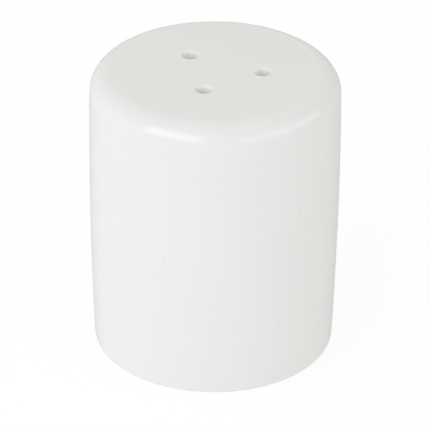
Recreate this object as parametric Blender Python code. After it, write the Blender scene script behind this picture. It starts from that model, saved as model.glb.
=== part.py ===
"""Salt or pepper shaker: a hollow porcelain body with pour holes in its top, and a push-in
stopper that closes the fill hole in its base.

Metres, +Z up. The origin is the centre of the foot ring's resting face, on the turning axis.
"""

import math

import bmesh
import bpy
from mathutils import Matrix

MM = 0.001

# Porcelain body, outside
HEIGHT = 70.0 * MM
BELLY_RADIUS = 29.0 * MM
BELLY_HEIGHT = 44.0 * MM  # where the wall is widest
FOOT_DRAFT = 0.85 * MM  # how far the wall has come in at the foot
SHOULDER_RADIUS = 5.2 * MM
CROWN_RISE = 0.4 * MM  # how far the middle of the top stands above the shoulder
FOOT_CORNER = 1.2 * MM

# Porcelain body, inside
WALL = 3.2 * MM
TOP_THICKNESS = 3.6 * MM
BASE_THICKNESS = 3.8 * MM
CEILING_FILLET = 2.6 * MM
FLOOR_FILLET = 4.0 * MM

# Underside: a foot ring round a shallow recess, with the fill hole in the middle
RING_WIDTH = 4.8 * MM
RING_INNER_CORNER = 1.0 * MM
RECESS_DEPTH = 2.8 * MM
RECESS_FILLET = 1.2 * MM
FILL_RADIUS = 10.0 * MM
FILL_LIP = 0.8 * MM

# Pour holes: each is punched a little off the circle and unevenly spaced
POUR_RADIUS = 1.0 * MM
POUR_MOUTH_RADIUS = 1.7 * MM  # the hole tapers from here down to its own radius
POUR_TAPER_DEPTH = 2.8 * MM
POUR_LIP_RADIUS = 0.8 * MM  # the glaze rounds the mouth
POUR_FLARE = 14.0  # degrees between the top and the outermost edge of the lip
POUR_CIRCLE_RADIUS = 10.3 * MM
POUR_HOLES = (  # (distance off the circle, direction in degrees)
    (-1.1 * MM, 130.0),
    (0.5 * MM, -6.0),
    (0.0 * MM, -105.0),
)

# Stopper
SEAT_GAP = 0.3 * MM  # between the flange and the underside of the base
BEAD_GAP = 0.2 * MM  # between the sealing beads and the fill hole
FLANGE_OVERLAP = 3.0 * MM  # how far the flange reaches past the fill hole
FLANGE_THICKNESS = 1.4 * MM
FLANGE_EDGE = 0.5 * MM
BEAD_RADIUS = 0.5 * MM  # each sealing bead is a half-round ring
BEAD_PITCH = 1.8 * MM
BEAD_COUNT = 2
PLUG_TAPER = 0.3 * MM  # how much narrower the plug is at its inner end
PLUG_REACH = 2.8 * MM  # how far the plug stands up above the shaker's inside floor
PLUG_EDGE = 0.9 * MM
STOPPER_WALL = 1.6 * MM
STOPPER_END = 1.5 * MM
CUP_FILLET = 0.8 * MM
CUP_MOUTH = 0.5 * MM
GRIP_THICKNESS = 2.0 * MM
GRIP_INSET = 0.4 * MM  # how far the grip bar stops short of the flange's face
GRIP_EDGE = 0.5 * MM

# How finely the curves are cut into flats
BODY_SEGMENTS = 64
STOPPER_SEGMENTS = 48
HOLE_SEGMENTS = 20
WALL_STEPS = 7
CROWN_STEPS = 4
SHOULDER_STEPS = 6
FILLET_STEPS = 4
CORNER_STEPS = 3
POUR_LIP_STEPS = 5
SMALL_EDGE_STEPS = 2

SAME_POINT = 0.001 * MM  # vertices closer than this are merged
SMOOTH_ANGLE = math.radians(40)  # edges blunter than this are shaded smooth

# What follows from the sizes above
SHOULDER_TOP = HEIGHT - CROWN_RISE
WALL_TOP = SHOULDER_TOP - SHOULDER_RADIUS
WALL_CURVE = FOOT_DRAFT / (BELLY_HEIGHT - FOOT_CORNER) ** 2
INSIDE_FLOOR = RECESS_DEPTH + BASE_THICKNESS
FLANGE_TOP = RECESS_DEPTH - SEAT_GAP
PLUG_TOP = INSIDE_FLOOR + PLUG_REACH
PLUG_RADIUS = FILL_RADIUS - BEAD_GAP - BEAD_RADIUS
CUP_TOP = PLUG_TOP - STOPPER_END


def wall_radius(z):
    """The outer wall is one long curve, widest at the belly."""
    return BELLY_RADIUS - WALL_CURVE * (z - BELLY_HEIGHT) ** 2


CROWN_EDGE = wall_radius(WALL_TOP) - SHOULDER_RADIUS


def crown_height(r):
    return HEIGHT - CROWN_RISE * (r / CROWN_EDGE) ** 2


def arc(centre, radius, start, end, steps):
    """Points (r, z) round centre from start to end, both in degrees."""
    points = []
    for i in range(steps + 1):
        angle = math.radians(start + (end - start) * i / steps)
        points.append((centre[0] + radius * math.cos(angle), centre[1] + radius * math.sin(angle)))
    return points


def between(start, end, steps):
    """The values strictly between start and end that cut the span into equal steps."""
    return [start + (end - start) * i / steps for i in range(1, steps)]


def outside_profile():
    """From the middle of the top, over the shoulder and down to the foot ring's resting face."""
    radii = [0, *between(0, CROWN_EDGE, CROWN_STEPS)]
    points = [(r, crown_height(r)) for r in radii]
    points += arc((CROWN_EDGE, WALL_TOP), SHOULDER_RADIUS, 90, 0, SHOULDER_STEPS)
    points += [(wall_radius(z), z) for z in between(WALL_TOP, FOOT_CORNER, WALL_STEPS)]
    corner = (wall_radius(FOOT_CORNER) - FOOT_CORNER, FOOT_CORNER)
    points += arc(corner, FOOT_CORNER, 0, -90, CORNER_STEPS)
    return points


def underside_profile():
    """From the foot ring's resting face, across the recess and up through the fill hole."""
    ring_inside = wall_radius(FOOT_CORNER) - RING_WIDTH
    corner = (ring_inside + RING_INNER_CORNER, RING_INNER_CORNER)
    points = arc(corner, RING_INNER_CORNER, -90, -180, CORNER_STEPS)
    fillet = (ring_inside - RECESS_FILLET, RECESS_DEPTH - RECESS_FILLET)
    points += arc(fillet, RECESS_FILLET, 0, 90, CORNER_STEPS)
    lip = FILL_RADIUS + FILL_LIP
    points += arc((lip, RECESS_DEPTH + FILL_LIP), FILL_LIP, -90, -180, CORNER_STEPS)
    points += arc((lip, INSIDE_FLOOR - FILL_LIP), FILL_LIP, 180, 90, CORNER_STEPS)
    return points


def chamber_profile():
    """From the fill hole's inner lip, up the inside wall to the middle of the ceiling."""
    floor_fillet_top = INSIDE_FLOOR + FLOOR_FILLET
    centre = (wall_radius(floor_fillet_top) - WALL - FLOOR_FILLET, floor_fillet_top)
    points = arc(centre, FLOOR_FILLET, -90, 0, FILLET_STEPS)
    ceiling_fillet_foot = SHOULDER_TOP - TOP_THICKNESS - CEILING_FILLET
    heights = between(floor_fillet_top, ceiling_fillet_foot, WALL_STEPS)
    points += [(wall_radius(z) - WALL, z) for z in heights]
    ceiling_edge = wall_radius(ceiling_fillet_foot) - WALL - CEILING_FILLET
    points += arc((ceiling_edge, ceiling_fillet_foot), CEILING_FILLET, 0, 90, FILLET_STEPS)
    radii = [*between(ceiling_edge, 0, CROWN_STEPS), 0]
    points += [(r, crown_height(r) - TOP_THICKNESS) for r in radii]
    return points


def pour_hole_profile():
    """A tapered bore with a rounded lip that flares out through the top at a shallow angle."""
    narrowing = POUR_MOUTH_RADIUS - POUR_RADIUS
    taper = math.degrees(math.atan(narrowing / (POUR_TAPER_DEPTH - POUR_LIP_RADIUS)))
    centre = (POUR_MOUTH_RADIUS + POUR_LIP_RADIUS, -POUR_LIP_RADIUS)
    lip = arc(centre, POUR_LIP_RADIUS, 90 + POUR_FLARE, 180 - taper, POUR_LIP_STEPS)
    bore_top = (POUR_RADIUS, -POUR_TAPER_DEPTH)
    above = POUR_LIP_RADIUS
    flare = lip[0][0] + (above - lip[0][1]) / math.tan(math.radians(POUR_FLARE))
    below = -(TOP_THICKNESS + POUR_LIP_RADIUS)
    return [(0, above), (flare, above), *lip, bore_top, (POUR_RADIUS, below), (0, below)]


def plug_side_profile():
    """Down the plug from its inner end to the flange, over the sealing beads."""
    slope = PLUG_TAPER / (PLUG_TOP - FLANGE_TOP)

    def radius(z):
        return PLUG_RADIUS - slope * (z - FLANGE_TOP)

    edge = (radius(PLUG_TOP) - PLUG_EDGE, PLUG_TOP - PLUG_EDGE)
    points = arc(edge, PLUG_EDGE, 90, 0, CORNER_STEPS)
    middle = RECESS_DEPTH + BASE_THICKNESS / 2
    for i in range(BEAD_COUNT):
        z = middle + BEAD_PITCH * ((BEAD_COUNT - 1) / 2 - i)
        points += arc((PLUG_RADIUS, z), BEAD_RADIUS, 90, -90, FILLET_STEPS)
    points.append((PLUG_RADIUS, FLANGE_TOP))
    return points


def stopper_profile():
    """From the middle of the plug's inner end, round the flange and into the hollow cup."""
    flange_radius = FILL_RADIUS + FLANGE_OVERLAP
    flange_foot = FLANGE_TOP - FLANGE_THICKNESS
    cup_radius = PLUG_RADIUS - STOPPER_WALL
    cup_end_radius = cup_radius - PLUG_TAPER
    points = [(0, PLUG_TOP), *plug_side_profile()]
    rim = flange_radius - FLANGE_EDGE
    points += arc((rim, FLANGE_TOP - FLANGE_EDGE), FLANGE_EDGE, 90, 0, SMALL_EDGE_STEPS)
    points += arc((rim, flange_foot + FLANGE_EDGE), FLANGE_EDGE, 0, -90, SMALL_EDGE_STEPS)
    mouth = (cup_radius + CUP_MOUTH, flange_foot + CUP_MOUTH)
    points += arc(mouth, CUP_MOUTH, -90, -180, SMALL_EDGE_STEPS)
    fillet = (cup_end_radius - CUP_FILLET, CUP_TOP - CUP_FILLET)
    points += arc(fillet, CUP_FILLET, 0, 90, CORNER_STEPS)
    points.append((0, CUP_TOP))
    return points


def material(name, colour, roughness):
    made = bpy.data.materials.new(name)
    made.use_nodes = True
    shader = made.node_tree.nodes["Principled BSDF"]
    shader.inputs["Base Color"].default_value = (*colour, 1)
    shader.inputs["Roughness"].default_value = roughness
    shader.inputs["Metallic"].default_value = 0
    made.diffuse_color = (*colour, 1)
    return made


def new_object(name, bm):
    mesh = bpy.data.meshes.new(name)
    bm.to_mesh(mesh)
    bm.free()
    made = bpy.data.objects.new(name, mesh)
    bpy.context.scene.collection.objects.link(made)
    return made


def turned(name, profile, segments):
    """The closed solid that a profile (r, z), with both ends on the axis, makes when spun."""
    bm = bmesh.new()
    vertices = [bm.verts.new((r, 0, z)) for r, z in profile]
    edges = [bm.edges.new(pair) for pair in zip(vertices, vertices[1:])]
    bmesh.ops.spin(
        bm,
        geom=vertices + edges,
        cent=(0, 0, 0),
        axis=(0, 0, 1),
        angle=2 * math.pi,
        steps=segments,
        use_merge=True,
        use_duplicate=False,
    )
    bmesh.ops.remove_doubles(bm, verts=bm.verts, dist=SAME_POINT)
    bmesh.ops.recalc_face_normals(bm, faces=bm.faces)
    return new_object(name, bm)


def shade_round(obj):
    obj.data.shade_smooth()
    obj.data.set_sharp_from_angle(angle=SMOOTH_ANGLE)


def boolean(obj, other, operation):
    modifier = obj.modifiers.new(other.name, "BOOLEAN")
    modifier.operation = operation
    modifier.object = other
    other.hide_render = True
    other.display_type = "WIRE"


def make_body():
    profile = outside_profile() + underside_profile() + chamber_profile()
    body = turned("porcelain_body", profile, BODY_SEGMENTS)
    shade_round(body)
    for number, (off_circle, degrees) in enumerate(POUR_HOLES, 1):
        distance = POUR_CIRCLE_RADIUS + off_circle
        angle = math.radians(degrees)
        cutter = turned(f"pour_hole_cutter_{number}", pour_hole_profile(), HOLE_SEGMENTS)
        cutter.location = (
            distance * math.cos(angle),
            distance * math.sin(angle),
            crown_height(distance),
        )
        boolean(body, cutter, "DIFFERENCE")
    return body


def make_grip_bar():
    """The bar across the stopper's cup that finger and thumb pinch. It runs into the walls."""
    length = 2 * (PLUG_RADIUS - STOPPER_WALL / 2 - PLUG_TAPER)
    bottom = FLANGE_TOP - FLANGE_THICKNESS + GRIP_INSET
    top = CUP_TOP + STOPPER_END / 2
    middle = (top + bottom) / 2
    size = Matrix.Diagonal((GRIP_THICKNESS, length, top - bottom, 1))
    bm = bmesh.new()
    bmesh.ops.create_cube(bm, size=1, matrix=Matrix.Translation((0, 0, middle)) @ size)
    long_edges = [
        edge
        for edge in bm.edges
        if all(v.co.z < middle for v in edge.verts)
        and abs(edge.verts[0].co.y - edge.verts[1].co.y) > length / 2
    ]
    bmesh.ops.bevel(
        bm,
        geom=long_edges,
        offset=GRIP_EDGE,
        segments=CORNER_STEPS,
        profile=0.5,
        affect="EDGES",
    )
    return new_object("grip_bar_join", bm)


def make_stopper():
    stopper = turned("base_stopper", stopper_profile(), STOPPER_SEGMENTS)
    shade_round(stopper)
    boolean(stopper, make_grip_bar(), "UNION")
    return stopper


def main():
    for obj in list(bpy.data.objects):
        bpy.data.objects.remove(obj)
    body = make_body()
    body.data.materials.append(material("glazed_porcelain", (0.84, 0.83, 0.81), 0.1))
    stopper = make_stopper()
    stopper.data.materials.append(material("soft_stopper", (0.74, 0.74, 0.71), 0.5))


main()
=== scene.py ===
"""Looks for a glazed porcelain salt or pepper shaker with a soft stopper in its base.

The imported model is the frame. Two detailed pieces stand for its two nodes: the porcelain body,
which stays where it is, and the stopper, which rides on the body that pulls out of the base.
Metres, +Z up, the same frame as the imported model.
"""

import math

import bmesh
import bpy
from mathutils import Matrix, Vector, noise
from mathutils.geometry import delaunay_2d_cdt

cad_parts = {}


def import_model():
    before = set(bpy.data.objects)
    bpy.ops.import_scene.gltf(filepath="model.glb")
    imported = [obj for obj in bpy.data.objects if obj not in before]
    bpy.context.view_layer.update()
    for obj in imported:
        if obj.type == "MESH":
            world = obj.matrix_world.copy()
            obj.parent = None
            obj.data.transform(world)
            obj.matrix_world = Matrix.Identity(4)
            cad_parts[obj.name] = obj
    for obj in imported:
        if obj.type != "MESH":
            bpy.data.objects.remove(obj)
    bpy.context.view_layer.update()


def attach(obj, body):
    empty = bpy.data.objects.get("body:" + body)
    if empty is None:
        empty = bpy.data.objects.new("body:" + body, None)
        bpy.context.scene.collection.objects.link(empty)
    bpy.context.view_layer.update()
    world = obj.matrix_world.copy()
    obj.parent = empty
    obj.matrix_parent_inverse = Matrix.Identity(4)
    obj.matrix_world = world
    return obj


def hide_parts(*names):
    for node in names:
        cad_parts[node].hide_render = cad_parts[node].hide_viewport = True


MM = 0.001

# The body's shape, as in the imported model
HEIGHT = 70.0 * MM
BELLY_RADIUS = 29.0 * MM
BELLY_HEIGHT = 44.0 * MM
FOOT_DRAFT = 0.85 * MM
SHOULDER_RADIUS = 5.2 * MM
CROWN_RISE = 0.4 * MM
FOOT_CORNER = 1.2 * MM
WALL = 3.2 * MM
TOP_THICKNESS = 3.6 * MM
BASE_THICKNESS = 3.8 * MM
CEILING_FILLET = 2.6 * MM
FLOOR_FILLET = 4.0 * MM
RING_WIDTH = 4.8 * MM
RING_INNER_CORNER = 1.0 * MM
RECESS_DEPTH = 2.8 * MM
RECESS_FILLET = 1.2 * MM
FILL_RADIUS = 10.0 * MM
FILL_LIP = 0.8 * MM

# Pour holes
POUR_RADIUS = 1.0 * MM
POUR_MOUTH_RADIUS = 1.7 * MM
POUR_TAPER_DEPTH = 2.8 * MM
POUR_LIP_RADIUS = 0.8 * MM
POUR_EXIT_EDGE = 0.35 * MM
POUR_HOLES = (  # (distance from the axis, direction in degrees, size against the others)
    (9.2 * MM, 130.0, 1.02),
    (10.8 * MM, -6.0, 0.97),
    (10.3 * MM, -105.0, 0.93),
)

# Stopper
SEAT_GAP = 0.3 * MM
BEAD_GAP = 0.2 * MM
FLANGE_OVERLAP = 3.0 * MM
FLANGE_THICKNESS = 1.4 * MM
FLANGE_EDGE = 0.5 * MM
BEAD_RADIUS = 0.5 * MM
BEAD_PITCH = 1.8 * MM
BEAD_COUNT = 2
PLUG_TAPER = 0.3 * MM
PLUG_REACH = 2.8 * MM
PLUG_EDGE = 0.9 * MM
STOPPER_WALL = 1.6 * MM
STOPPER_END = 1.5 * MM
CUP_FILLET = 0.8 * MM
CUP_MOUTH = 0.5 * MM
GRIP_THICKNESS = 2.0 * MM
GRIP_INSET = 0.4 * MM
GRIP_EDGE = 0.5 * MM
MOULD_FILLET = 0.3 * MM

# How finely the surfaces are cut
BODY_SEGMENTS = 320
SHOULDER_STEPS = 28
WALL_STEPS = 56
FOOT_STEPS = 12
RECESS_STEPS = 10
FLOOR_STEPS = 10
INSIDE_STEPS = 24
SMALL_STEPS = 8
HOLE_SEGMENTS = 48
LIP_STEPS = 10
TAPER_STEPS = 8
PLATE_SPACING = 1.1 * MM
PLATE_CLEARANCE = 0.45 * PLATE_SPACING  # between a pour hole and the net round it
POINTS_PER_ROW = 6  # each row of the net has so many points more than the one inside it
SAME_POINT = 1e-9
STOPPER_SEGMENTS = 128
BEAD_STEPS = 10
RIM_STEPS = 6
ROUNDING_STEPS = 3
ROUNDED_ANGLE = math.radians(60)  # sharper edges are rounded
SMOOTH_ANGLE = math.radians(35)  # blunter edges are shaded smooth

# Unevenness of the fired and glazed surface
WAVE_LENGTH = 14.0 * MM
WAVE_DEPTH = 0.03 * MM
WAVE_FADE = (1.5 * MM, 5.0 * MM)  # the heights between which it comes in, above the flat foot
RIPPLE_SHARE = 0.4  # finer ripples on the waves
RIPPLE_RATE = 2.7
HOLE_OVALNESS = 0.03

# Colours
GLAZE = (0.856, 0.852, 0.842)
PALE_GLAZE = (0.862, 0.858, 0.849)
SPECK = (0.42, 0.37, 0.31)
BISCUIT = (0.70, 0.685, 0.65)
PALE_BISCUIT = (0.80, 0.785, 0.755)
SCUFF = (0.50, 0.49, 0.47)
SILICONE = (0.70, 0.70, 0.665)
PALE_SILICONE = (0.76, 0.76, 0.73)
DUST = (0.45, 0.43, 0.40)
FLOOR_COLOUR = (0.92, 0.92, 0.92, 1.0)

# Finish
GLAZE_EDGE = (0.42 * MM, 0.28 * MM)  # heights between which the glaze gives way to the bare foot
GLAZE_EDGE_RAGGEDNESS = 0.5 * MM
MOULD_RING_PITCH = 0.45 * MM

# View: the camera looks along +Y, down on the object
CAMERA_LOCATION = Vector((0.0, -650.5, 406.7)) * MM
CAMERA_TARGET = Vector((0.17, 0.0, 31.52)) * MM
CAMERA_ROLL = 0.0092
CAMERA_LENS = 269.1
SENSOR_WIDTH = 36.0
NEAREST = 0.01
FARTHEST = 20.0

# Floor
FLOOR_RADIUS = 3.0
FLOOR_SEGMENTS = 64
FLOOR_CLEARNESS = 0.8

# Light
BACKDROP_STRENGTH = 1.05
SURROUNDINGS = (0.836, 0.820, 0.798)
TOWARDS_RIGHT = (-0.094, -0.106, -0.116)
TOWARDS_TOP = (-0.093, -0.100, -0.115)
SHADE = (-0.24, -0.23, -0.21)
SHADE_DIRECTION = (0.14, 0.90, -0.41)
SHADE_FOCUS = 4.0
COOL = (0.745, 0.830, 1.0)
COOL_FILL = (0.750, 0.872, 1.0)


# ---------------------------------------------------------------- shape

SHOULDER_TOP = HEIGHT - CROWN_RISE
WALL_TOP = SHOULDER_TOP - SHOULDER_RADIUS
WALL_CURVE = FOOT_DRAFT / (BELLY_HEIGHT - FOOT_CORNER) ** 2
INSIDE_FLOOR = RECESS_DEPTH + BASE_THICKNESS
FLANGE_TOP = RECESS_DEPTH - SEAT_GAP
FLANGE_FOOT = FLANGE_TOP - FLANGE_THICKNESS
PLUG_TOP = INSIDE_FLOOR + PLUG_REACH
PLUG_RADIUS = FILL_RADIUS - BEAD_GAP - BEAD_RADIUS
CUP_TOP = PLUG_TOP - STOPPER_END


def wall_radius(z):
    return BELLY_RADIUS - WALL_CURVE * (z - BELLY_HEIGHT) ** 2


CROWN_EDGE = wall_radius(WALL_TOP) - SHOULDER_RADIUS


def crown_height(r):
    return HEIGHT - CROWN_RISE * (r / CROWN_EDGE) ** 2


def arc(centre, radius, start, end, steps):
    """Points (r, z) round centre from start to end, both in degrees."""
    points = []
    for i in range(steps + 1):
        angle = math.radians(start + (end - start) * i / steps)
        points.append((centre[0] + radius * math.cos(angle), centre[1] + radius * math.sin(angle)))
    return points


def between(start, end, steps):
    """The values that divide start to end into steps, without the two ends."""
    return [start + (end - start) * i / steps for i in range(1, steps)]


def body_profile():
    """From the crown's edge, down the outside, across the base and up inside to the ceiling's edge."""
    points = arc((CROWN_EDGE, WALL_TOP), SHOULDER_RADIUS, 90, 0, SHOULDER_STEPS)
    points += [(wall_radius(z), z) for z in between(WALL_TOP, FOOT_CORNER, WALL_STEPS)]
    foot = (wall_radius(FOOT_CORNER) - FOOT_CORNER, FOOT_CORNER)
    points += arc(foot, FOOT_CORNER, 0, -90, FOOT_STEPS)

    ring_inside = wall_radius(FOOT_CORNER) - RING_WIDTH
    corner = (ring_inside + RING_INNER_CORNER, RING_INNER_CORNER)
    points += arc(corner, RING_INNER_CORNER, -90, -180, RECESS_STEPS)
    fillet = (ring_inside - RECESS_FILLET, RECESS_DEPTH - RECESS_FILLET)
    points += arc(fillet, RECESS_FILLET, 0, 90, RECESS_STEPS)
    lip = FILL_RADIUS + FILL_LIP
    points += [(r, RECESS_DEPTH) for r in between(fillet[0], lip, RECESS_STEPS)]
    points += arc((lip, RECESS_DEPTH + FILL_LIP), FILL_LIP, -90, -180, SMALL_STEPS)
    points += arc((lip, INSIDE_FLOOR - FILL_LIP), FILL_LIP, 180, 90, SMALL_STEPS)

    floor_fillet_top = INSIDE_FLOOR + FLOOR_FILLET
    centre = (wall_radius(floor_fillet_top) - WALL - FLOOR_FILLET, floor_fillet_top)
    points += [(r, INSIDE_FLOOR) for r in between(lip, centre[0], SMALL_STEPS)]
    points += arc(centre, FLOOR_FILLET, -90, 0, FLOOR_STEPS)
    ceiling_fillet_foot = SHOULDER_TOP - TOP_THICKNESS - CEILING_FILLET
    heights = between(floor_fillet_top, ceiling_fillet_foot, INSIDE_STEPS)
    points += [(wall_radius(z) - WALL, z) for z in heights]
    ceiling_edge = wall_radius(ceiling_fillet_foot) - WALL - CEILING_FILLET
    points += arc((ceiling_edge, ceiling_fillet_foot), CEILING_FILLET, 0, 90, SMALL_STEPS)
    return points


def ring(bm, radius, z, segments):
    vertices = []
    for i in range(segments):
        angle = 2 * math.pi * i / segments
        vertices.append(bm.verts.new((radius * math.cos(angle), radius * math.sin(angle), z)))
    return vertices


def join_rings(bm, rings):
    for upper, lower in zip(rings, rings[1:]):
        for i in range(len(upper)):
            j = (i + 1) % len(upper)
            bm.faces.new((upper[i], upper[j], lower[j], lower[i]))


def hole_rings(bm, distance, direction, size):
    """The rings of one pour hole, from the edge of its rounded lip on the crown, down its taper
    and its bore, to its edge on the ceiling."""
    angle = math.radians(direction)
    centre = Vector((distance * math.cos(angle), distance * math.sin(angle)))
    bore = POUR_RADIUS * size
    mouth = POUR_MOUTH_RADIUS * size
    lip = POUR_LIP_RADIUS * size
    taper = math.degrees(math.atan((mouth - bore) / (POUR_TAPER_DEPTH - lip)))
    outline = arc((mouth + lip, lip), lip, -90, taper - 180, LIP_STEPS)
    lip_foot = outline[-1]
    for i in range(1, TAPER_STEPS + 1):
        share = i / TAPER_STEPS
        radius = lip_foot[0] + (bore - lip_foot[0]) * share
        outline.append((radius, lip_foot[1] + (POUR_TAPER_DEPTH - lip_foot[1]) * share))
    outline.append((bore, TOP_THICKNESS - POUR_EXIT_EDGE))
    outline.append((bore + POUR_EXIT_EDGE, TOP_THICKNESS))
    rings = []
    for radius, depth in outline:
        vertices = []
        for i in range(HOLE_SEGMENTS):
            around = 2 * math.pi * i / HOLE_SEGMENTS
            # The direction also serves as a phase, so that each hole is oval its own way
            uneven = 1 + HOLE_OVALNESS * math.sin(2 * around + direction)
            x = centre.x + radius * uneven * math.cos(around)
            y = centre.y + radius * uneven * math.sin(around)
            z = crown_height(math.hypot(x, y)) - depth
            vertices.append(bm.verts.new((x, y, z)))
        rings.append(vertices)
    return rings


def fill_plate(bm, rim, hole_edges, drop):
    """Fills the disc inside rim, apart from the holes, with an even net drop below the crown."""
    rim_radius = rim[0].co.xy.length
    vertices = list(rim)
    loops = [range(len(rim))]
    centres = []
    for edge in hole_edges:
        loops.append(range(len(vertices), len(vertices) + len(edge)))
        vertices += edge
        middle = sum((v.co.xy for v in edge), Vector((0, 0))) / len(edge)
        centres.append((middle, max((v.co.xy - middle).length for v in edge)))

    rows = round(rim_radius / PLATE_SPACING)
    for row in range(rows):
        radius = rim_radius * row / rows
        count = max(1, POINTS_PER_ROW * row)
        for i in range(count):
            angle = 2 * math.pi * (i + (row % 2) / 2) / count
            point = Vector((radius * math.cos(angle), radius * math.sin(angle)))
            if all((point - c).length > reach + PLATE_CLEARANCE for c, reach in centres):
                vertices.append(bm.verts.new((point.x, point.y, crown_height(radius) - drop)))

    edges = []
    for loop in loops:
        edges += [(a, b) for a, b in zip(loop, [*loop[1:], loop[0]])]
    flat = [v.co.xy for v in vertices]
    _, _, triangles, sources, _, _ = delaunay_2d_cdt(flat, edges, [], 0, SAME_POINT)
    original = [found[0] for found in sources]
    for triangle in triangles:
        corners = [original[i] for i in triangle]
        inside_a_hole = any(all(corner in loop for corner in corners) for loop in loops[1:])
        if not inside_a_hole:
            bm.faces.new([vertices[corner] for corner in corners])


def to_object(name, bm, material):
    mesh = bpy.data.meshes.new(name)
    bmesh.ops.recalc_face_normals(bm, faces=bm.faces)
    bm.to_mesh(mesh)
    bm.free()
    mesh.shade_smooth()
    mesh.materials.append(material)
    made = bpy.data.objects.new(name, mesh)
    bpy.context.scene.collection.objects.link(made)
    return made


def smooth_step(low, high, value):
    t = min(1.0, max(0.0, (value - low) / (high - low)))
    return t * t * (3 - 2 * t)


def make_body(material):
    bm = bmesh.new()
    rings = [ring(bm, r, z, BODY_SEGMENTS) for r, z in body_profile()]
    join_rings(bm, rings)
    holes = [hole_rings(bm, *hole) for hole in POUR_HOLES]
    for hole in holes:
        join_rings(bm, hole)
    before = len(bm.verts)
    fill_plate(bm, rings[0], [hole[0] for hole in holes], 0.0)
    bm.verts.ensure_lookup_table()
    crown = [bm.verts[i] for i in range(before, len(bm.verts))]
    fill_plate(bm, rings[-1], [hole[-1] for hole in holes], TOP_THICKNESS)

    bmesh.ops.recalc_face_normals(bm, faces=bm.faces)
    bm.normal_update()
    outer_rings = rings[: SHOULDER_STEPS + WALL_STEPS]
    outer = crown + [v for row in outer_rings for v in row]
    outer += [v for hole in holes for row in hole[:LIP_STEPS] for v in row]
    for v in outer:
        place = v.co / WAVE_LENGTH
        wave = noise.noise(place) + RIPPLE_SHARE * noise.noise(place * RIPPLE_RATE)
        v.co += v.normal * wave * WAVE_DEPTH * smooth_step(*WAVE_FADE, v.co.z)
    return to_object("glazed_body", bm, material)


def stopper_profile():
    """From the middle of the plug's inner end, over the beads and the flange, into the hollow cup."""
    slope = PLUG_TAPER / (PLUG_TOP - FLANGE_TOP)
    end_radius = PLUG_RADIUS - slope * (PLUG_TOP - FLANGE_TOP)
    points = [(0.0, PLUG_TOP), (end_radius - 2 * PLUG_EDGE, PLUG_TOP)]
    points += arc((end_radius - PLUG_EDGE, PLUG_TOP - PLUG_EDGE), PLUG_EDGE, 90, 0, SMALL_STEPS)
    middle = RECESS_DEPTH + BASE_THICKNESS / 2
    for i in range(BEAD_COUNT):
        z = middle + BEAD_PITCH * ((BEAD_COUNT - 1) / 2 - i)
        points += arc((PLUG_RADIUS, z), BEAD_RADIUS, 90, -90, BEAD_STEPS)
    points.append((PLUG_RADIUS, FLANGE_TOP))
    rim = FILL_RADIUS + FLANGE_OVERLAP - FLANGE_EDGE
    points += arc((rim, FLANGE_TOP - FLANGE_EDGE), FLANGE_EDGE, 90, 0, RIM_STEPS)
    points += arc((rim, FLANGE_FOOT + FLANGE_EDGE), FLANGE_EDGE, 0, -90, RIM_STEPS)
    cup_radius = PLUG_RADIUS - STOPPER_WALL
    points += arc((cup_radius + CUP_MOUTH, FLANGE_FOOT + CUP_MOUTH), CUP_MOUTH, -90, -180, RIM_STEPS)
    fillet = (cup_radius - PLUG_TAPER - CUP_FILLET, CUP_TOP - CUP_FILLET)
    points += arc(fillet, CUP_FILLET, 0, 90, SMALL_STEPS)
    points.append((0.0, CUP_TOP))
    return points


def make_grip_bar(material):
    """The bar across the cup that fingers pull, rounded along its two outer edges."""
    length = 2 * (PLUG_RADIUS - STOPPER_WALL / 2 - PLUG_TAPER)
    bottom = FLANGE_FOOT + GRIP_INSET
    top = CUP_TOP + STOPPER_END / 2
    middle = (top + bottom) / 2
    size = Matrix.Diagonal((GRIP_THICKNESS, length, top - bottom, 1))
    bm = bmesh.new()
    bmesh.ops.create_cube(bm, size=1, matrix=Matrix.Translation((0, 0, middle)) @ size)
    long_edges = [
        edge
        for edge in bm.edges
        if all(v.co.z < middle for v in edge.verts)
        and abs(edge.verts[0].co.y - edge.verts[1].co.y) > length / 2
    ]
    bmesh.ops.bevel(
        bm, geom=long_edges, offset=GRIP_EDGE, segments=SMALL_STEPS, profile=0.5, affect="EDGES"
    )
    return to_object("grip_bar_join", bm, material)


def apply_modifiers(obj):
    graph = bpy.context.evaluated_depsgraph_get()
    mesh = bpy.data.meshes.new_from_object(obj.evaluated_get(graph))
    obj.modifiers.clear()
    obj.data = mesh


def make_stopper(material):
    bm = bmesh.new()
    profile = stopper_profile()
    rings = [ring(bm, r, z, STOPPER_SEGMENTS) for r, z in profile[1:-1]]
    join_rings(bm, rings)
    for end, rim in ((profile[0], rings[0]), (profile[-1], rings[-1])):
        pole = bm.verts.new((0, 0, end[1]))
        for i in range(len(rim)):
            bm.faces.new((pole, rim[i], rim[(i + 1) % len(rim)]))
    stopper = to_object("soft_stopper_piece", bm, material)
    bar = make_grip_bar(material)
    union = stopper.modifiers.new("grip", "BOOLEAN")
    union.operation = "UNION"
    union.object = bar
    rounding = stopper.modifiers.new("rounding", "BEVEL")
    rounding.width = MOULD_FILLET
    rounding.segments = ROUNDING_STEPS
    rounding.limit_method = "ANGLE"
    rounding.angle_limit = ROUNDED_ANGLE
    apply_modifiers(stopper)
    bpy.data.objects.remove(bar)
    stopper.data.set_sharp_from_angle(angle=SMOOTH_ANGLE)
    return stopper


# ---------------------------------------------------------------- materials


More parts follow.
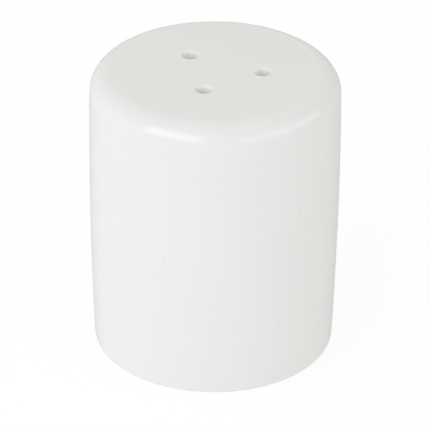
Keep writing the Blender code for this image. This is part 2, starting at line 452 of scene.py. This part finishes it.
class Nodes:
    """Short calls for building a node tree."""

    def __init__(self, name):
        self.material = bpy.data.materials.new(name)
        self.material.use_nodes = True
        self.tree = self.material.node_tree
        self.shader = self.tree.nodes["Principled BSDF"]
        self.output = self.tree.nodes["Material Output"]

    def add(self, kind, **settings):
        node = self.tree.nodes.new(kind)
        for key, value in settings.items():
            setattr(node, key, value)
        return node

    def link(self, source, target):
        self.tree.links.new(source, target)

    def feed(self, socket, value):
        """Gives a socket a number or a colour, or links another node's output to it."""
        if isinstance(value, bpy.types.NodeSocket):
            self.link(value, socket)
        elif isinstance(value, tuple):
            socket.default_value = (*value, 1.0)
        else:
            socket.default_value = value

    def math(self, operation, a, b=0.0):
        node = self.add("ShaderNodeMath", operation=operation)
        self.feed(node.inputs[0], a)
        self.feed(node.inputs[1], b)
        return node.outputs[0]

    def ramp(self, value, low, high, out_low=0.0, out_high=1.0):
        """Rises smoothly from out_low, where value is low, to out_high, where it is high."""
        node = self.add("ShaderNodeMapRange", interpolation_type="SMOOTHSTEP")
        self.link(value, node.inputs["Value"])
        node.inputs["From Min"].default_value = low
        node.inputs["From Max"].default_value = high
        node.inputs["To Min"].default_value = out_low
        node.inputs["To Max"].default_value = out_high
        return node.outputs["Result"]

    def noise(self, coordinates, scale, detail=2.0, roughness=0.5):
        """Noise of scale lumps to the metre, from 0 to 1."""
        node = self.add("ShaderNodeTexNoise")
        self.link(coordinates, node.inputs["Vector"])
        node.inputs["Scale"].default_value = scale
        node.inputs["Detail"].default_value = detail
        node.inputs["Roughness"].default_value = roughness
        return node.outputs["Fac"]

    def mix(self, factor, a, b, data_type="RGBA"):
        node = self.add("ShaderNodeMix", data_type=data_type)
        self.link(factor, node.inputs["Factor"])
        self.feed(node.inputs["A"], a)
        self.feed(node.inputs["B"], b)
        return node.outputs["Result"]

    def bump(self, height, distance, normal=None):
        node = self.add("ShaderNodeBump")
        self.link(height, node.inputs["Height"])
        node.inputs["Distance"].default_value = distance
        node.inputs["Strength"].default_value = 1.0
        if normal is not None:
            self.link(normal, node.inputs["Normal"])
        return node.outputs["Normal"]


def spots(nodes, coordinates, scale, share, size):
    """A scattering of soft round spots of uneven strength: there are scale cells to the metre,
    share of them hold a spot, and a spot's radius is size of its cell."""
    cells = nodes.add("ShaderNodeTexVoronoi")
    nodes.link(coordinates, cells.inputs["Vector"])
    cells.inputs["Scale"].default_value = scale
    core = 0.3 * size
    inside = nodes.ramp(cells.outputs["Distance"], size, core)
    picked = nodes.add("ShaderNodeSeparateColor")
    nodes.link(cells.outputs["Color"], picked.inputs["Color"])
    chosen = nodes.math("LESS_THAN", picked.outputs["Red"], share)
    strength = nodes.math("MULTIPLY", chosen, picked.outputs["Green"])
    return nodes.math("MULTIPLY", inside, strength)


def glazed_porcelain():
    """White body under a clear glaze, bare and matt where the foot ring was wiped."""
    n = Nodes("glazed_porcelain")
    place = n.add("ShaderNodeTexCoord").outputs["Object"]
    split = n.add("ShaderNodeSeparateXYZ")
    n.link(place, split.inputs["Vector"])
    height = split.outputs["Z"]

    drift = n.ramp(n.noise(place, scale=45.0, detail=3.0), low=0.35, high=0.65)
    colour = n.mix(drift, GLAZE, PALE_GLAZE)
    specks = spots(n, place, scale=230.0, share=0.5, size=0.13)
    colour = n.mix(n.math("MULTIPLY", specks, 0.2), colour, SPECK)

    ragged = n.math("SUBTRACT", n.noise(place, scale=900.0, detail=3.0), 0.5)
    ragged = n.math("MULTIPLY", ragged, GLAZE_EDGE_RAGGEDNESS)
    bare = n.ramp(n.math("ADD", height, ragged), *GLAZE_EDGE)
    grain = n.noise(place, scale=5200.0, detail=4.0, roughness=0.65)
    biscuit = n.mix(grain, BISCUIT, PALE_BISCUIT)
    scuffs = n.ramp(n.noise(place, scale=330.0, detail=4.0, roughness=0.6), low=0.55, high=0.72)
    biscuit = n.mix(n.math("MULTIPLY", scuffs, 0.5), biscuit, SCUFF)
    n.link(n.mix(bare, colour, biscuit), n.shader.inputs["Base Color"])

    gloss = n.noise(place, scale=220.0)
    gloss = n.ramp(gloss, low=0.3, high=0.7, out_low=0.14, out_high=0.20)
    biscuit_roughness = 0.75
    n.link(n.mix(bare, gloss, biscuit_roughness, "FLOAT"), n.shader.inputs["Roughness"])
    glazed = n.ramp(bare, low=0.0, high=1.0, out_low=1.0, out_high=0.0)
    n.link(glazed, n.shader.inputs["Coat Weight"])
    n.shader.inputs["Coat Roughness"].default_value = 0.09
    n.shader.inputs["Coat IOR"].default_value = 1.5
    n.shader.inputs["IOR"].default_value = 1.45
    n.shader.inputs["Subsurface Weight"].default_value = 0.12
    n.shader.inputs["Subsurface Radius"].default_value = (1.0, 0.9, 0.75)
    n.shader.inputs["Subsurface Scale"].default_value = 1.2 * MM

    orange_peel = n.noise(place, scale=420.0, detail=1.5)
    pinholes = spots(n, place, scale=330.0, share=0.035, size=0.09)
    normal = n.bump(orange_peel, distance=0.004 * MM)
    normal = n.bump(n.math("SUBTRACT", 1.0, pinholes), distance=0.03 * MM, normal=normal)
    n.link(normal, n.shader.inputs["Coat Normal"])
    sandy = n.bump(n.math("MULTIPLY", grain, bare), distance=0.08 * MM, normal=normal)
    n.link(sandy, n.shader.inputs["Normal"])
    return n.material


def soft_stopper():
    """Milky moulded silicone with a satin skin, a little dust and faint moulding rings."""
    n = Nodes("soft_stopper")
    place = n.add("ShaderNodeTexCoord").outputs["Object"]
    cloud = n.ramp(n.noise(place, scale=120.0, detail=3.0), low=0.3, high=0.7)
    colour = n.mix(cloud, SILICONE, PALE_SILICONE)
    dust = spots(n, place, scale=700.0, share=0.08, size=0.12)
    colour = n.mix(n.math("MULTIPLY", dust, 0.4), colour, DUST)
    n.link(colour, n.shader.inputs["Base Color"])
    skin = n.noise(place, scale=1500.0, detail=4.0, roughness=0.6)
    satin = n.ramp(skin, low=0.3, high=0.7, out_low=0.38, out_high=0.52)
    n.link(satin, n.shader.inputs["Roughness"])
    n.shader.inputs["IOR"].default_value = 1.42
    n.shader.inputs["Subsurface Weight"].default_value = 0.45
    n.shader.inputs["Subsurface Radius"].default_value = (1.0, 0.95, 0.85)
    n.shader.inputs["Subsurface Scale"].default_value = 2.0 * MM

    flat = n.add("ShaderNodeVectorMath", operation="MULTIPLY")
    n.link(place, flat.inputs[0])
    flat.inputs[1].default_value = (1.0, 1.0, 0.0)
    radius = n.add("ShaderNodeVectorMath", operation="LENGTH")
    n.link(flat.outputs["Vector"], radius.inputs[0])
    turns = n.math("MULTIPLY", radius.outputs["Value"], 2 * math.pi / MOULD_RING_PITCH)
    normal = n.bump(skin, distance=0.02 * MM)
    normal = n.bump(n.math("SINE", turns), distance=0.003 * MM, normal=normal)
    n.link(normal, n.shader.inputs["Normal"])
    return n.material


def floor_material():
    """Pale ground that lets the white surroundings through and keeps only a trace of shade. From
    below it is clear, so that the underside can be seen."""
    n = Nodes("pale_floor")
    n.shader.inputs["Base Color"].default_value = FLOOR_COLOUR
    n.shader.inputs["Roughness"].default_value = 0.9
    clear = n.add("ShaderNodeBsdfTransparent")
    below = n.add("ShaderNodeNewGeometry").outputs["Backfacing"]
    share = n.ramp(below, low=0.0, high=1.0, out_low=FLOOR_CLEARNESS, out_high=1.0)
    mix = n.add("ShaderNodeMixShader")
    n.link(share, mix.inputs["Fac"])
    n.link(n.shader.outputs["BSDF"], mix.inputs[1])
    n.link(clear.outputs["BSDF"], mix.inputs[2])
    n.link(mix.outputs["Shader"], n.output.inputs["Surface"])
    return n.material


# ---------------------------------------------------------------- setting


def make_floor():
    bm = bmesh.new()
    bmesh.ops.create_circle(bm, cap_ends=True, radius=FLOOR_RADIUS, segments=FLOOR_SEGMENTS)
    floor = to_object("floor", bm, floor_material())
    if floor.data.polygons[0].normal.z < 0:
        floor.data.flip_normals()


def make_camera():
    camera = bpy.data.cameras.new("camera")
    camera.lens = CAMERA_LENS
    camera.sensor_width = SENSOR_WIDTH
    camera.clip_start = NEAREST
    camera.clip_end = FARTHEST
    obj = bpy.data.objects.new("camera", camera)
    bpy.context.scene.collection.objects.link(obj)
    look = (CAMERA_TARGET - CAMERA_LOCATION).to_track_quat("-Z", "Y").to_matrix().to_4x4()
    roll = Matrix.Rotation(CAMERA_ROLL, 4, "Z")
    obj.matrix_world = Matrix.Translation(CAMERA_LOCATION) @ look @ roll
    bpy.context.scene.camera = obj


def soft_light(name, azimuth, elevation, distance, size, power, colour):
    """A rectangular softbox that faces the object. Azimuth 0 is the camera's side, + to its right."""
    light = bpy.data.lights.new(name, "AREA")
    light.shape = "RECTANGLE"
    light.size, light.size_y = size
    light.energy = power
    light.color = colour
    obj = bpy.data.objects.new(name, light)
    bpy.context.scene.collection.objects.link(obj)
    az, el = math.radians(azimuth), math.radians(elevation)
    away = Vector((math.sin(az) * math.cos(el), -math.cos(az) * math.cos(el), math.sin(el)))
    target = Vector((0, 0, HEIGHT / 2))
    obj.location = target + away * distance
    obj.rotation_euler = (-away).to_track_quat("-Z", "Y").to_euler()


def world_lobe(tree, direction, centre, focus):
    """1 in the direction centre and fading to 0 round it, faster the higher focus is."""
    along = tree.nodes.new("ShaderNodeVectorMath")
    along.operation = "DOT_PRODUCT"
    tree.links.new(direction, along.inputs[0])
    along.inputs[1].default_value = centre
    front = tree.nodes.new("ShaderNodeMath")
    front.operation = "MAXIMUM"
    tree.links.new(along.outputs["Value"], front.inputs[0])
    front.inputs[1].default_value = 0.0
    power = tree.nodes.new("ShaderNodeMath")
    power.operation = "POWER"
    tree.links.new(front.outputs[0], power.inputs[0])
    power.inputs[1].default_value = focus
    return power.outputs[0]


def make_world():
    """White to the camera. To what it lights, a white studio: a little brighter from the left and
    from below, and darker low down behind the object, which the glaze mirrors along its edges."""
    world = bpy.data.worlds.new("surroundings")
    world.use_nodes = True
    tree = world.node_tree
    seen = tree.nodes["Background"]
    seen.inputs["Color"].default_value = (1, 1, 1, 1)
    seen.inputs["Strength"].default_value = BACKDROP_STRENGTH

    direction = tree.nodes.new("ShaderNodeTexCoord").outputs["Generated"]
    axes = tree.nodes.new("ShaderNodeSeparateXYZ")
    tree.links.new(direction, axes.inputs["Vector"])
    colour = None
    terms = (
        (axes.outputs["X"], TOWARDS_RIGHT),
        (axes.outputs["Z"], TOWARDS_TOP),
        (world_lobe(tree, direction, SHADE_DIRECTION, SHADE_FOCUS), SHADE),
    )
    for amount, change in terms:
        step = tree.nodes.new("ShaderNodeVectorMath")
        step.operation = "MULTIPLY_ADD"
        tree.links.new(amount, step.inputs[0])
        step.inputs[1].default_value = change
        if colour is None:
            step.inputs[2].default_value = SURROUNDINGS
        else:
            tree.links.new(colour, step.inputs[2])
        colour = step.outputs["Vector"]

    lighting = tree.nodes.new("ShaderNodeBackground")
    tree.links.new(colour, lighting.inputs["Color"])
    mix = tree.nodes.new("ShaderNodeMixShader")
    rays = tree.nodes.new("ShaderNodeLightPath")
    tree.links.new(rays.outputs["Is Camera Ray"], mix.inputs["Fac"])
    tree.links.new(lighting.outputs["Background"], mix.inputs[1])
    tree.links.new(seen.outputs["Background"], mix.inputs[2])
    tree.links.new(mix.outputs["Shader"], tree.nodes["World Output"].inputs["Surface"])
    bpy.context.scene.world = world


def make_lights():
    """A big soft key from the left with a brighter middle, and a wide low fill from the right."""
    soft_light("key_softbox", -40, 30, distance=1.2, size=(1.12, 0.78), power=2.10, colour=COOL)
    soft_light("key_softbox_core", -40, 30, distance=1.15, size=(0.93, 0.58), power=1.22, colour=COOL)
    soft_light("fill_softbox", 65, 22, distance=1.2, size=(2.01, 0.51), power=2.40, colour=COOL_FILL)


def main():
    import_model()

    body = make_body(glazed_porcelain())
    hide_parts("porcelain_body")
    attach(body, "shaker")

    stopper = make_stopper(soft_stopper())
    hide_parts("base_stopper")
    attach(stopper, "stopper")

    make_floor()
    make_camera()
    make_world()
    make_lights()
    bpy.context.scene.view_settings.view_transform = "Standard"


main()
